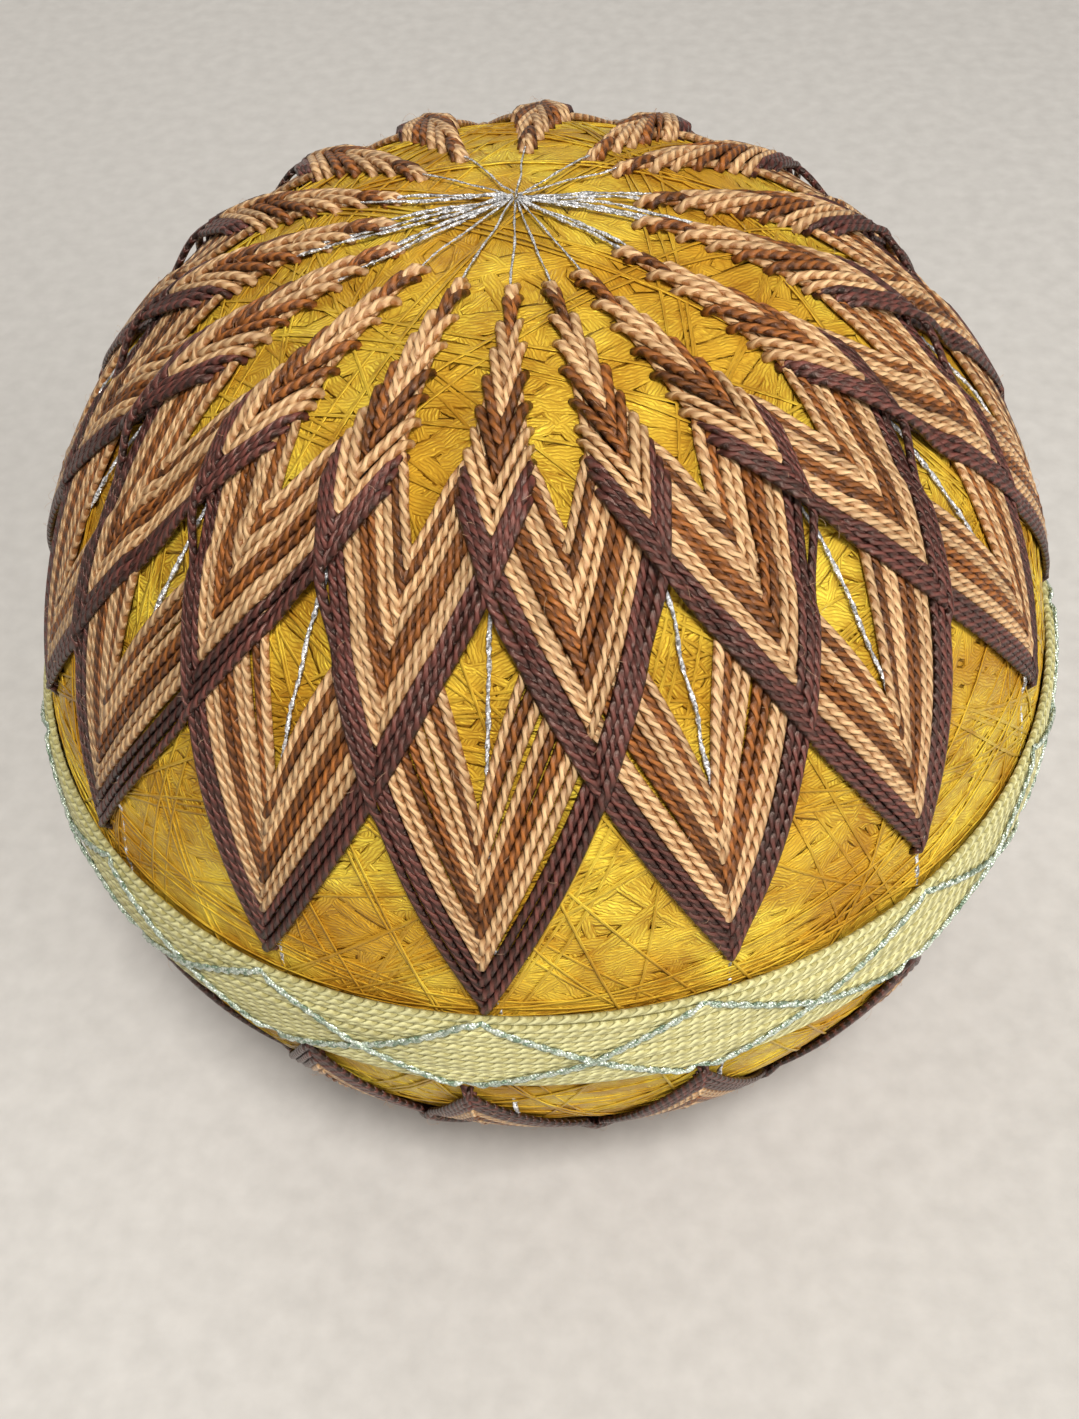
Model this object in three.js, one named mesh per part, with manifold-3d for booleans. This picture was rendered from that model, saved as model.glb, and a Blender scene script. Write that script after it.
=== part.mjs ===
import * as THREE from 'three';
import { mergeVertices } from 'three/addons/utils/BufferGeometryUtils.js';
import Module from 'manifold-3d';

// A thread-wound temari ball with a kiku (chrysanthemum) on each half and a belt round its equator.
// Millimetres and degrees, +Z up. The ball rests on a small flat spot, and the origin is its middle.
// A place on the ball is a colatitude from the upper pole and an azimuth from -Y towards +X.

// Wound ball
const BALL_RADIUS = 38.7;
const FLAT_RADIUS = 6;
const CENTRE_HEIGHT = Math.sqrt(BALL_RADIUS ** 2 - FLAT_RADIUS ** 2);
const BALL_SIDES = 40;
const BALL_RINGS = 18;

// What is stitched on the ball lies this far off it
const SEAT_GAP = 0.3;
const SKIN_RADIUS = BALL_RADIUS + SEAT_GAP;

// Kiku: the outside of one layer of rows, and of two layers where the bands interlace
const MERIDIANS = 16;
const SECTOR = 360 / MERIDIANS;
const ONE_LAYER = 39.7;
const TWO_LAYERS = 40.2;
const FIRST_TIP = 58.9;
const PETAL_STEPS = 3;

// Hand-stitched unevenness: how far each column's top and each petal's tip stray from their meridian, and
// the tip's colatitude
const STRAY = [
  { top: 3.8, tip: -1.1, reach: 83.3 },
  { top: -2.1, tip: 0.1, reach: 80.1 },
  { top: -9.0, tip: -0.2, reach: 79.2 },
  { top: -7.2, tip: 1.8, reach: 77.8 },
  { top: -5.0, tip: 0.8, reach: 81.0 },
  { top: -10.5, tip: -0.9, reach: 80.2 },
  { top: -5.2, tip: 0.6, reach: 82.0 },
  { top: -10.0, tip: -0.4, reach: 80.6 },
  { top: -0.7, tip: 1.0, reach: 81.4 },
  { top: 7.5, tip: -0.6, reach: 82.2 },
  { top: 8.5, tip: 0.3, reach: 80.4 },
  { top: 8.3, tip: -1.0, reach: 81.6 },
  { top: 5.4, tip: 0.7, reach: 80.0 },
  { top: 2.7, tip: 2.8, reach: 76.6 },
  { top: 1.5, tip: -3.0, reach: 81.9 },
  { top: 2.7, tip: -0.9, reach: 81.6 },
];

// Lines of rows across a band, from its first row to its dark last rows: share of the width, and how much
// of the layer's thickness stands there
const BAND = [
  { across: 0, lift: 0.85 },
  { across: 0.42, lift: 1 },
  { across: 0.8, lift: 0.85 },
  { across: 1, lift: 1.15 },
];

// A column of crossed upper stitches: where a stitch enters at the column's edge, where its threads cross on
// the meridian, half the column's width there, and the outside radius at its edge and its middle
const STITCHES = [
  { edge: 11.6, crossing: 12.8, half: 0.6, rim: 39.5, ridge: 39.6 },
  { edge: 15.5, crossing: 19.0, half: 1.1, rim: 39.6, ridge: 40.2 },
  { edge: 20.5, crossing: 26.0, half: 1.6, rim: 39.6, ridge: 40.1 },
  { edge: 25.0, crossing: 32.5, half: 2.0, rim: 39.9, ridge: 40.6 },
  { edge: 28.0, crossing: 37.0, half: 2.25, rim: 39.8, ridge: 40.3 },
  { edge: 29.2, crossing: 39.0, half: 2.3, rim: 40.3, ridge: 40.8 },
  { edge: 30.6, crossing: 41.5, half: 2.2, rim: 40.0, ridge: 40.3 },
];

// Belt of horizontal rows, and the metallic zigzags stitched over it
const BELT_HALF_HEIGHT = 4.2;
const BELT_EDGE_RADIUS = 39.55;
const BELT_RADIUS = 39.95;
const BELT_RIBS = 3;
const BELT_RIB_SLOPE = 0.2;
const BELT_GROOVE = 0.12;
const BELT_SIDES = 48;
const ZIGZAG_SIZE = 0.6;
const ZIGZAG_REACH = 3.6;
const ZIGZAG_STEPS = 4;

// Marking threads from the pole to the feet of the columns, and the knot where they cross
const STAR_REACH = 10.4;
const STAR_THREAD = 0.5;
const STAR_STEPS = 2;
const KNOT_TOP_RADIUS = 0.8;
const KNOT_RADIUS = 1.1;
const KNOT_SIDES = 12;

// Finishes
const GOLDEN_THREAD = { color: 0xc8961e, roughness: 0.55 };
const SILVER_THREAD = { color: 0xc9ccd0, roughness: 0.3, metalness: 0.8 };
const BROWN_THREAD = { color: 0x9a5f35, roughness: 0.6 };
const PALE_THREAD = { color: 0xe6dca0, roughness: 0.6 };
const MINT_METALLIC_THREAD = { color: 0xaac8b4, roughness: 0.35, metalness: 0.6 };

const wasm = await Module();
wasm.setup();

const lerp = THREE.MathUtils.lerp;
const toRad = THREE.MathUtils.degToRad;
const toDeg = THREE.MathUtils.radToDeg;
const LAST = STITCHES.at(-1);

// A place on the ball, measured from the ball's centre
function spot(colatitude, azimuth, radius) {
  const level = radius * Math.sin(toRad(colatitude));
  return new THREE.Vector3(
    level * Math.sin(toRad(azimuth)),
    -level * Math.cos(toRad(azimuth)),
    radius * Math.cos(toRad(colatitude)),
  );
}

// A closed solid through rings of points that run anticlockwise as seen from the far end
function loft(rings) {
  const sides = rings[0].length;
  const index = [];
  for (let ring = 0; ring + 1 < rings.length; ring += 1) {
    for (let side = 0; side < sides; side += 1) {
      const a = ring * sides + side;
      const b = ring * sides + ((side + 1) % sides);
      index.push(a, b, b + sides, a, b + sides, a + sides);
    }
  }
  const last = (rings.length - 1) * sides;
  for (let side = 1; side + 1 < sides; side += 1) {
    index.push(0, side + 1, side);
    index.push(last, last + side, last + side + 1);
  }
  return indexed(rings.flat(), index);
}

function indexed(points, index) {
  const geometry = new THREE.BufferGeometry();
  const positions = points.flatMap((point) => point.toArray());
  geometry.setAttribute('position', new THREE.Float32BufferAttribute(positions, 3));
  geometry.setIndex(index);
  return geometry;
}

function solid(geometry) {
  const bare = geometry.clone();
  bare.deleteAttribute('normal');
  bare.deleteAttribute('uv');
  const merged = mergeVertices(bare, 1e-4);
  return new wasm.Manifold(
    new wasm.Mesh({
      numProp: 3,
      vertProperties: new Float32Array(merged.attributes.position.array),
      triVerts: new Uint32Array(merged.index.array),
    }),
  );
}

function fuse(geometries) {
  return geometries.map(solid).reduce((whole, piece) => whole.add(piece));
}

function toGeometry(manifold) {
  const mesh = manifold.getMesh();
  const geometry = new THREE.BufferGeometry();
  geometry.setAttribute('position', new THREE.Float32BufferAttribute(mesh.vertProperties, 3));
  geometry.setIndex(Array.from(mesh.triVerts));
  geometry.computeVertexNormals();
  return geometry;
}

// The place on column k's stitch, at one of the band's lines, on the side of the meridian that turn names.
// A stitch's edge carries the band's first line, and its crossing on the meridian the last one.
function stitchPlace(k, turn, stitch, line) {
  const { edge, crossing, half } = STITCHES[stitch];
  const side = 1 - BAND[line].across;
  const colatitude = lerp(crossing, edge, side);
  const straying = (LAST.crossing - colatitude) / (LAST.crossing - STITCHES[0].crossing);
  const width = toDeg(half / (BALL_RADIUS * Math.sin(toRad(colatitude))));
  return spot(colatitude, k * SECTOR + STRAY[k].top * straying + turn * side * width, 1);
}

function tipPlace(k, line) {
  const colatitude = lerp(FIRST_TIP, STRAY[k].reach, BAND[line].across);
  return spot(colatitude, k * SECTOR + STRAY[k].tip, 1);
}

// A line of a band runs taut, on a great circle, from the foot of its column to the tip on the next meridian
function bandLine(k, turn, line) {
  const next = (k + turn + MERIDIANS) % MERIDIANS;
  const foot = stitchPlace(k, turn, STITCHES.length - 1, line);
  return { foot, tip: tipPlace(next, line) };
}

function crossingOf(one, other) {
  const plane = (line) => line.foot.clone().cross(line.tip);
  const point = plane(one).cross(plane(other)).normalize();
  return point.dot(one.foot) > 0 ? point : point.negate();
}

// The faces of the half sector beside meridian k, each a loop of places with an outside radius: half the
// column, the band's arm that lies over its neighbour as far as the sector's middle, and the half petal
// where the neighbour's arm comes out from under it
function halfSector(k, turn) {
  const next = (k + turn + MERIDIANS) % MERIDIANS;
  const ends = BAND.length - 1;
  const mine = BAND.map((_, line) => bandLine(k, turn, line));
  const theirs = BAND.map((_, line) => bandLine(next, -turn, line));
  const layer = (outside, line) => lerp(SKIN_RADIUS, outside, BAND[line].lift);
  const column = (stitch, line) => {
    const { rim, ridge } = STITCHES[stitch];
    const round = Math.sqrt(1 - (1 - BAND[line].across) ** 2);
    return { place: stitchPlace(k, turn, stitch, line), radius: lerp(rim, ridge, round) };
  };
  const over = (line, other) => ({
    place: crossingOf(mine[line], theirs[other]),
    radius: layer(TWO_LAYERS, line),
  });
  const petal = (line, step) => {
    const start = crossingOf(mine[ends], theirs[line]);
    const place = start.lerp(theirs[line].tip, step / PETAL_STEPS).normalize();
    return { place, radius: layer(ONE_LAYER, line) };
  };
  const faces = [];
  for (let line = 0; line < ends; line += 1) {
    for (let stitch = 0; stitch + 1 < STITCHES.length; stitch += 1) {
      const below = stitch + 1;
      faces.push([
        column(stitch, line + 1),
        column(below, line + 1),
        column(below, line),
        column(stitch, line),
      ]);
    }
    const foot = STITCHES.length - 1;
    faces.push([column(foot, line + 1), over(line + 1, 0), over(line, 0), column(foot, line)]);
    for (let other = 0; other < line; other += 1) {
      const beyond = other + 1;
      faces.push([
        over(line + 1, other),
        over(line + 1, beyond),
        over(line, beyond),
        over(line, other),
      ]);
    }
    faces.push([over(line + 1, line), over(line + 1, line + 1), over(line, line)]);
    for (let step = 0; step < PETAL_STEPS; step += 1) {
      faces.push([
        petal(line, step),
        petal(line, step + 1),
        petal(line + 1, step + 1),
        petal(line + 1, step),
      ]);
    }
  }
  return turn > 0 ? faces : faces.map((face) => face.reverse());
}

// Makes one closed solid of faces that meet edge to edge on the ball: walls stand wherever two neighbours
// differ in height or a face has none, and the underside lies on the skin's radius
function relief(faces) {
  const name = ({ x, y, z }) => [x, y, z].map((value) => value.toFixed(6)).join(' ');
  const points = [];
  const heights = new Map();
  const edges = new Map();
  const pointAt = (place, radius) => {
    points.push(place.clone().multiplyScalar(radius));
    return points.length - 1;
  };
  const note = (place, radius) => {
    const known = heights.get(name(place)) ?? new Set([SKIN_RADIUS]);
    heights.set(name(place), known.add(radius));
  };
  const index = [];
  faces.forEach((face) => {
    face.forEach((from, corner) => {
      const to = face[(corner + 1) % face.length];
      note(from.place, from.radius);
      edges.set(`${name(from.place)}|${name(to.place)}`, { from, to });
    });
    for (let corner = 1; corner + 1 < face.length; corner += 1) {
      const triangle = [face[0], face[corner], face[corner + 1]];
      triangle.forEach(({ place, radius }) => index.push(pointAt(place, radius)));
      triangle.reverse().forEach(({ place }) => index.push(pointAt(place, SKIN_RADIUS)));
    }
  });
  const upright = (place, top, bottom) =>
    [...heights.get(name(place))]
      .filter((radius) => radius <= top && radius >= bottom)
      .sort((one, other) => other - one)
      .map((radius) => ({ place, radius }));
  edges.forEach(({ from, to }) => {
    const neighbour = edges.get(`${name(to.place)}|${name(from.place)}`);
    const left = upright(from.place, from.radius, neighbour?.to.radius ?? SKIN_RADIUS);
    const right = upright(to.place, to.radius, neighbour?.from.radius ?? SKIN_RADIUS);
    const wall = (...corners) =>
      corners.forEach(({ place, radius }) => index.push(pointAt(place, radius)));
    left.slice(1).forEach((low, step) => wall(left[step], low, right[0]));
    right.slice(1).forEach((low, step) => wall(left.at(-1), low, right[step]));
  });
  return mergeVertices(indexed(points, index), 1e-4);
}

function kiku() {
  const faces = [];
  for (let k = 0; k < MERIDIANS; k += 1) {
    faces.push(...halfSector(k, 1), ...halfSector(k, -1));
  }
  return relief(faces);
}

// Everything beyond the resting plane, while the lower kiku still faces up, to trim the threads that the
// ball's weight presses flat
function restingSlab() {
  const size = 4 * BALL_RADIUS;
  const slab = new THREE.BoxGeometry(size, size, size);
  slab.translate(0, 0, CENTRE_HEIGHT + size / 2);
  return solid(slab);
}

function woundBall() {
  const profile = [new THREE.Vector2(0, -CENTRE_HEIGHT)];
  const start = Math.asin(FLAT_RADIUS / BALL_RADIUS);
  for (let ring = 0; ring < BALL_RINGS; ring += 1) {
    const angle = lerp(start, Math.PI, ring / BALL_RINGS);
    profile.push(new THREE.Vector2(BALL_RADIUS * Math.sin(angle), -BALL_RADIUS * Math.cos(angle)));
  }
  profile.push(new THREE.Vector2(0, BALL_RADIUS));
  const ball = new THREE.LatheGeometry(profile, BALL_SIDES);
  ball.rotateX(Math.PI / 2);
  return toGeometry(solid(ball));
}

function belt() {
  const inside = Math.sqrt(SKIN_RADIUS ** 2 - BELT_HALF_HEIGHT ** 2);
  const profile = [
    new THREE.Vector2(inside, -BELT_HALF_HEIGHT),
    new THREE.Vector2(BELT_EDGE_RADIUS, -BELT_HALF_HEIGHT),
  ];
  const ribHeight = (2 * BELT_HALF_HEIGHT) / BELT_RIBS;
  for (let rib = 0; rib < BELT_RIBS; rib += 1) {
    const low = rib * ribHeight - BELT_HALF_HEIGHT;
    profile.push(new THREE.Vector2(BELT_RADIUS, low + BELT_RIB_SLOPE * ribHeight));
    profile.push(new THREE.Vector2(BELT_RADIUS, low + (1 - BELT_RIB_SLOPE) * ribHeight));
    if (rib + 1 < BELT_RIBS) {
      profile.push(new THREE.Vector2(BELT_RADIUS - BELT_GROOVE, low + ribHeight));
    }
  }
  profile.push(new THREE.Vector2(BELT_EDGE_RADIUS, BELT_HALF_HEIGHT));
  profile.push(new THREE.Vector2(inside, BELT_HALF_HEIGHT));
  profile.push(new THREE.Vector2(SKIN_RADIUS, 0));
  profile.push(profile[0].clone());
  const ring = new THREE.LatheGeometry(profile, BELT_SIDES);
  ring.rotateX(Math.PI / 2);
  return toGeometry(solid(ring));
}

// One zigzag goes from the belt's top on the even meridians to its bottom on the odd ones, and the other
// the opposite way, so that they cross in the middle of each sector
function zigzagLeg(k, turn) {
  const inside = BELT_RADIUS + SEAT_GAP;
  const start = turn * ZIGZAG_REACH;
  const half = ZIGZAG_SIZE / 2;
  const rings = [];
  for (let step = 0; step <= ZIGZAG_STEPS; step += 1) {
    const share = step / ZIGZAG_STEPS;
    const azimuth = toRad((k + share) * SECTOR);
    const height = lerp(start, -start, share);
    const at = (radius, rise) =>
      new THREE.Vector3(radius * Math.sin(azimuth), -radius * Math.cos(azimuth), height + rise);
    rings.push([
      at(inside, half),
      at(inside + ZIGZAG_SIZE, half),
      at(inside + ZIGZAG_SIZE, -half),
      at(inside, -half),
    ]);
  }
  return loft(rings);
}

function beltZigzag() {
  const legs = [];
  for (let k = 0; k < MERIDIANS; k += 1) {
    legs.push(zigzagLeg(k, 1), zigzagLeg(k, -1));
  }
  return toGeometry(fuse(legs));
}

// A marking thread from the pole to the foot of a column
function starSpoke(k) {
  const azimuth = k * SECTOR + STRAY[k].top;
  const side = spot(90, azimuth + 90, STAR_THREAD / 2);
  const rings = [];
  for (let step = 0; step <= STAR_STEPS; step += 1) {
    const colatitude = lerp(0, STAR_REACH, step / STAR_STEPS);
    const low = spot(colatitude, azimuth, SKIN_RADIUS);
    const high = spot(colatitude, azimuth, SKIN_RADIUS + STAR_THREAD);
    rings.push([
      low.clone().sub(side),
      high.clone().sub(side),
      high.clone().add(side),
      low.clone().add(side),
    ]);
  }
  return loft(rings.map((ring) => ring.reverse()));
}

function markingStar() {
  const height = 2 * STAR_THREAD;
  const knot = new THREE.CylinderGeometry(KNOT_TOP_RADIUS, KNOT_RADIUS, height, KNOT_SIDES);
  knot.rotateX(Math.PI / 2);
  knot.translate(0, 0, SKIN_RADIUS + height / 2);
  const spokes = [];
  for (let k = 0; k < MERIDIANS; k += 1) {
    spokes.push(starSpoke(k));
  }
  return toGeometry(fuse([knot, ...spokes]));
}

const ball = new THREE.Group();

// Adds a piece around the ball's centre, or upside down on its lower half
function place(name, geometry, finish, turned = false) {
  const mesh = new THREE.Mesh(geometry, new THREE.MeshStandardMaterial(finish));
  mesh.name = name;
  mesh.position.z = CENTRE_HEIGHT;
  mesh.rotation.x = turned ? Math.PI : 0;
  ball.add(mesh);
}

const flower = solid(kiku());
const pressedFlower = flower.subtract(restingSlab());
place('wound_ball', woundBall(), GOLDEN_THREAD);
place('marking_star_north', markingStar(), SILVER_THREAD);
place('kiku_north', toGeometry(flower), BROWN_THREAD);
place('kiku_south', toGeometry(pressedFlower), BROWN_THREAD, true);
place('belt', belt(), PALE_THREAD);
place('belt_zigzag', beltZigzag(), MINT_METALLIC_THREAD);

export default ball;
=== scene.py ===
import math

import bmesh
import bpy
import numpy as np
from mathutils import Matrix, Vector, noise


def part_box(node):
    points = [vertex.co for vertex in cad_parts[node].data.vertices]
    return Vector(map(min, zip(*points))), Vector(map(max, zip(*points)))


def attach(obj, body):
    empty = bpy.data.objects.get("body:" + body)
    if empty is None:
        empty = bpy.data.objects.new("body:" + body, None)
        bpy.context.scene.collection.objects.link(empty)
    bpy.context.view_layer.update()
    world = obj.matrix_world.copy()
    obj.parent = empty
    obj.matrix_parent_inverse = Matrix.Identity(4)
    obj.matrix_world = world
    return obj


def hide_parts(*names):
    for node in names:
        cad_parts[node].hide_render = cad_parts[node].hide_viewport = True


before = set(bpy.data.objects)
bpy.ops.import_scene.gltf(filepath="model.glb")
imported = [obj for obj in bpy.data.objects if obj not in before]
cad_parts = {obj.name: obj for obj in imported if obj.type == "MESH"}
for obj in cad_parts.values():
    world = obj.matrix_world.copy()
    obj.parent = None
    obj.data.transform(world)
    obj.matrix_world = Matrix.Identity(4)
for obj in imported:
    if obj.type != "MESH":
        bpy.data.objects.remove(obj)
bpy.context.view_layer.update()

# Sizes of the ball, in millimetres, from the frame
MM = 0.001
ball_low, ball_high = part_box("wound_ball")
BALL_RADIUS = (ball_high.x - ball_low.x) / 2 / MM
CENTRE_HEIGHT = ball_high.z / MM - BALL_RADIUS
SKIN_RADIUS = BALL_RADIUS + 0.3
PRESS_HEIGHT = 0.6

# Layout of the stitched rows: angles in degrees, colatitude from the pole, azimuth from the front
MERIDIANS = 16
SECTOR = 360 / MERIDIANS
COLUMN_TOP = 12.8
COLUMN_FOOT = 41.5
FOOT_EDGE = 30.6
FOOT_HALF_WIDTH = 2.2
FIRST_TIP = 63.0

# The rows of one kiku, the innermost first: their yarn, the colatitude of the stitch at the
# column's edge, and the colatitude where they cross the column's middle
ROWS = [
    ("tan", 11.2, 13.4),
    ("brown", 12.4, 15.9),
    ("tan", 15.4, 21.2),
    ("tan", 18.2, 26.0),
    ("brown", 21.2, 28.3),
    ("brown", 24.2, 30.8),
    ("tan", 26.6, 33.6),
    ("tan", 28.4, 36.5),
    ("plum", 29.7, 38.4),
    ("plum", 31.1, 40.0),
    ("plum", 32.5, COLUMN_FOOT),
]
LAST_ROW = len(ROWS) - 1
PLUM_ROW = 8

# Form of a column by the colatitude of its edge: half width, and outer radius at rim and ridge
COLUMN_EDGES = [11.2, 12.4, 15.5, 20.5, 25.0, 28.0, 30.6, 32.5]
COLUMN_HALVES = [0.25, 0.4, 0.7, 1.15, 1.6, 1.95, 2.15, 2.2]
COLUMN_RIMS = [39.4, 39.42, 39.46, 39.55, 39.65, 39.78, 39.9, 40.0]
COLUMN_RIDGES = [39.5, 39.58, 39.75, 39.95, 40.14, 40.28, 40.3, 40.2]

# How far each meridian strays by hand: the column's top and the petal's tip in azimuth from
# the meridian, and the colatitude that the petal's outermost row reaches
STRAY = [
    dict(top=3.0, tip=-1.2, reach=82.6),
    dict(top=-3.5, tip=0.0, reach=79.4),
    dict(top=-10.8, tip=-0.3, reach=78.2),
    dict(top=-9.4, tip=2.0, reach=76.4),
    dict(top=-7.2, tip=0.8, reach=81.0),
    dict(top=-12.4, tip=-0.9, reach=80.2),
    dict(top=-6.3, tip=0.6, reach=82.0),
    dict(top=-10.5, tip=-0.4, reach=80.6),
    dict(top=-0.3, tip=1.0, reach=81.4),
    dict(top=8.7, tip=-0.6, reach=82.2),
    dict(top=10.2, tip=0.3, reach=80.4),
    dict(top=10.3, tip=-1.0, reach=81.6),
    dict(top=7.4, tip=0.7, reach=80.0),
    dict(top=4.4, tip=3.2, reach=75.2),
    dict(top=2.6, tip=-3.2, reach=80.8),
    dict(top=2.9, tip=-0.9, reach=80.8),
]

# The tips that differ on the lower half, where the stitches are counted from the other pole
LOWER_STRAY = {
    6: dict(tip=-1.7, reach=81.8),
    7: dict(tip=2.4, reach=80.4),
    8: dict(tip=4.6, reach=78.8),
}

# Embroidery cotton: its section, the length of one turn of its plies, and the radii of its middle
# where it lies on the ball, over another row, or out of sight
COTTON_HALF_WIDTH = 0.33
COTTON_HALF_HEIGHT = 0.27
COTTON_PITCH = 1.87
COTTON_SIDES = 8
ONE_LAYER = SKIN_RADIUS + COTTON_HALF_HEIGHT
TWO_LAYERS = ONE_LAYER + 0.45
SUNK = BALL_RADIUS - 0.1


def direction(colatitude, azimuth):
    """The unit vector from the ball's centre, for angles in degrees."""
    c = np.radians(colatitude)
    a = np.radians(azimuth)
    return np.array([np.sin(c) * np.sin(a), -np.sin(c) * np.cos(a), np.cos(c)])


def unit(v):
    """The same directions with length 1."""
    return v / np.linalg.norm(v, axis=-1, keepdims=True)


def blend(a, b, share):
    """The value that lies share of the way from a to b."""
    return a + (b - a) * share


def ease(x):
    """A smooth step from 0 to 1 as x goes from 0 to 1."""
    x = np.clip(x, 0, 1)
    return x * x * (3 - 2 * x)


def smooth(values, sigma):
    """values along a line, each averaged with its neighbours; the ends stay."""
    reach = max(1, int(3 * sigma))
    window = np.exp(-0.5 * (np.arange(-reach, reach + 1) / sigma) ** 2)
    window /= window.sum()
    padded = np.concatenate(
        [np.repeat(values[:1], reach, 0), values, np.repeat(values[-1:], reach, 0)]
    )
    if values.ndim == 1:
        return np.convolve(padded, window, "valid")
    return np.stack([np.convolve(c, window, "valid") for c in padded.T], 1)


def distances(line):
    """How far along a line each of its points is."""
    steps = np.linalg.norm(np.diff(line, axis=0), axis=1)
    return np.concatenate([[0], np.cumsum(steps)])


def evenly(line, step):
    """The same line with points about step apart."""
    along = distances(line)
    count = max(3, int(round(along[-1] / step)) + 1)
    at = np.linspace(0, along[-1], count)
    return np.stack([np.interp(at, along, c) for c in line.T], 1)


def rest_on_floor(points):
    """Points about the ball's centre in millimetres, as points of the frame in metres. What
    would reach into the floor is pressed flat above it, each layer in its order."""
    placed = np.array(points, float)
    z = placed[:, 2] + CENTRE_HEIGHT
    pressed = PRESS_HEIGHT * np.exp(np.minimum(z - PRESS_HEIGHT, 0) / PRESS_HEIGHT)
    placed[:, 2] = np.where(z < PRESS_HEIGHT, pressed, z)
    return placed * MM


class Yarns:
    """Collects tubes, each a strand of yarn along a line on the ball, and joins them. A flat
    strand counts the way around it in half widths, a round one in turns."""

    def __init__(self, sides, flat=False):
        self.sides = sides
        self.angles = -math.pi / 2 + 2 * math.pi * np.arange(sides) / sides
        self.around = np.arange(sides + 1) / sides
        if flat:
            ring = np.cos(np.append(self.angles, self.angles[0]))
            self.around = np.append(0, np.cumsum(np.abs(np.diff(ring))))
        self.points = []
        self.quads = []
        self.caps = []
        self.uvs = []
        self.marks = []
        self.count = 0

    def add(self, line, half_width, half_height, mark, closed=False, stretch=(1.0, 1.0)):
        """A strand along line. mark is a number from 0 to 1 that its material may read, and
        stretch scales its UV map along and around."""
        if closed:
            tangents = unit(np.roll(line, -1, 0) - np.roll(line, 1, 0))
        else:
            tangents = unit(np.gradient(line, axis=0))
        outward = unit(line)
        outward = unit(outward - tangents * (outward * tangents).sum(1, keepdims=True))
        across = np.cross(tangents, outward)
        rows = len(line)
        widths = np.broadcast_to(half_width, rows)[:, None, None]
        heights = np.broadcast_to(half_height, rows)[:, None, None]
        rings = (
            line[:, None]
            + across[:, None] * widths * np.cos(self.angles)[None, :, None]
            + outward[:, None] * heights * np.sin(self.angles)[None, :, None]
        )
        along = distances(np.concatenate([line, line[:1]])) * stretch[0]
        spans = rows if closed else rows - 1
        i = np.repeat(np.arange(spans), self.sides)
        j = np.tile(np.arange(self.sides), spans)
        here = i * self.sides
        there = (i + 1) % rows * self.sides
        j_next = (j + 1) % self.sides
        quads = np.stack([here + j, there + j, there + j_next, here + j_next], 1)
        u = along[np.stack([i, i + 1, i + 1, i], 1)]
        v = self.around[np.stack([j, j, j + 1, j + 1], 1)]
        self.points.append(rings.reshape(-1, 3))
        self.quads.append(quads + self.count)
        self.uvs.append(np.stack([u, v * stretch[1]], 2))
        self.marks.append(np.stack([np.full(v.shape, mark), v / self.around[-1]], 2))
        if not closed:
            first = np.arange(self.sides)
            last = (rows - 1) * self.sides + np.arange(self.sides)[::-1]
            self.caps.append((first + self.count, mark, 0.0))
            self.caps.append((last + self.count, mark, along[rows - 1]))
        self.count += rows * self.sides

    def build(self, name, material):
        """One object with all the strands. Its UV map "thread" holds millimetres along and
        the way around, and "strand" holds the mark and the share of the way around."""
        loops = [np.concatenate(self.quads).ravel()]
        sizes = [np.full(len(loops[0]) // 4, 4)]
        uvs = [np.concatenate(self.uvs).reshape(-1, 2)]
        marks = [np.concatenate(self.marks).reshape(-1, 2)]
        for corners, mark, length in self.caps:
            loops.append(corners)
            sizes.append(np.array([self.sides]))
            uvs.append(np.stack([np.full(self.sides, length), self.around[:-1]], 1))
            marks.append(np.full((self.sides, 2), mark))
        loops = np.concatenate(loops)
        sizes = np.concatenate(sizes)
        marks = np.concatenate(marks)
        points = rest_on_floor(np.concatenate(self.points))
        mesh = bpy.data.meshes.new(name)
        mesh.vertices.add(len(points))
        mesh.vertices.foreach_set("co", points.ravel())
        mesh.loops.add(len(loops))
        mesh.loops.foreach_set("vertex_index", loops.astype(np.int32))
        mesh.polygons.add(len(sizes))
        starts = np.concatenate([[0], np.cumsum(sizes)[:-1]])
        mesh.polygons.foreach_set("loop_start", starts.astype(np.int32))
        mesh.update(calc_edges=True)
        mesh.polygons.foreach_set("use_smooth", np.ones(len(sizes), bool))
        thread_map = mesh.uv_layers.new(name="thread")
        thread_map.data.foreach_set("uv", np.concatenate(uvs).ravel())
        strand_map = mesh.uv_layers.new(name="strand")
        strand_map.data.foreach_set("uv", marks.ravel())
        mesh.validate()
        mesh.materials.append(material)
        made = bpy.data.objects.new(name, mesh)
        bpy.context.scene.collection.objects.link(made)
        return made


# Materials

PLY_RELIEF = 0.4 * COTTON_HALF_HEIGHT
SEWING_THREAD = 0.23
BUNDLE_RELIEF = 0.075
SINGLE_RELIEF = 0.05
METAL_RELIEF = 0.12


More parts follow.
